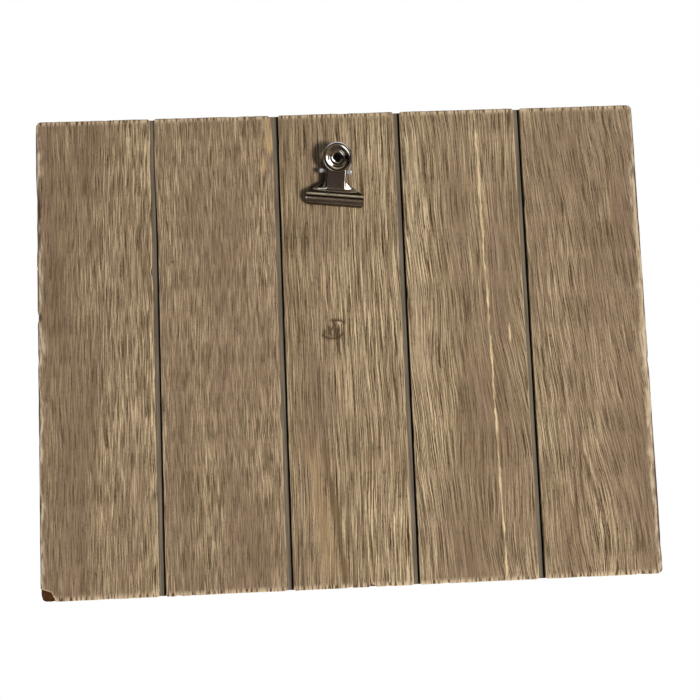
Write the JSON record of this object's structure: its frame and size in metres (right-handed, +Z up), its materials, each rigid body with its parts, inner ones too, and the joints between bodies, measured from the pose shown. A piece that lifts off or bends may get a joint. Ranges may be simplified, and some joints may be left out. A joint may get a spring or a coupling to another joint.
{
  "type": "clipboard picture frame",
  "caption": "Wall-hung picture board of wood slats on a backing panel, with a sprung bulldog clip that swivels on a screw and grips a photo.",
  "frame": {"origin": "the hanger's middle notch, where it sits on the wall nail, in the plane of the wall", "axes": "+Z up, +X to the viewer's right along the board's width, +Y towards the wall, so the front faces -Y"},
  "size_m": [0.32, 0.0329, 0.25],
  "materials": {
    "slat_wood": "limed and wire-brushed, matt",
    "panel_board": "fibreboard, grey wash on the front, matt",
    "clip_nickel": "nickel plated, bright",
    "spring_steel": "drawn wire, oiled",
    "zinc_steel": "zinc plated, satin",
    "black_steel": "black oxide, matt"
  },
  "bodies": {
    "board": {"backing_panel": "panel_board", "slat_1": "slat_wood", "slat_2": "slat_wood", "slat_3": "slat_wood", "slat_4": "slat_wood", "slat_5": "slat_wood", "sawtooth_hanger": "zinc_steel", "hanger_nail_left": "zinc_steel", "hanger_nail_right": "zinc_steel", "clip_screw": "black_steel"},
    "clip_base": {"clip_rear_lever": "clip_nickel", "clip_hinge_pin": "zinc_steel", "clip_spring": "spring_steel"},
    "clip_front": {"clip_front_lever": "clip_nickel"}
  },
  "joints": [
    {"name": "clip_swivel", "type": "hinge", "parent": "board", "child": "clip_base", "pos_m": [-0.0005, -0.0149, -0.0069], "axis": [0, -1, 0], "continuous": true},
    {"name": "jaw_hinge", "type": "hinge", "parent": "clip_base", "child": "clip_front", "pos_m": [-0.00131, -0.0218, -0.01426], "axis": [-0.994, 0, 0.1097], "range_deg": [0, 38], "stiffness_Nm_per_rad": 0.25, "springref_deg": -38.96, "deforming": ["clip_spring"]}
  ]
}
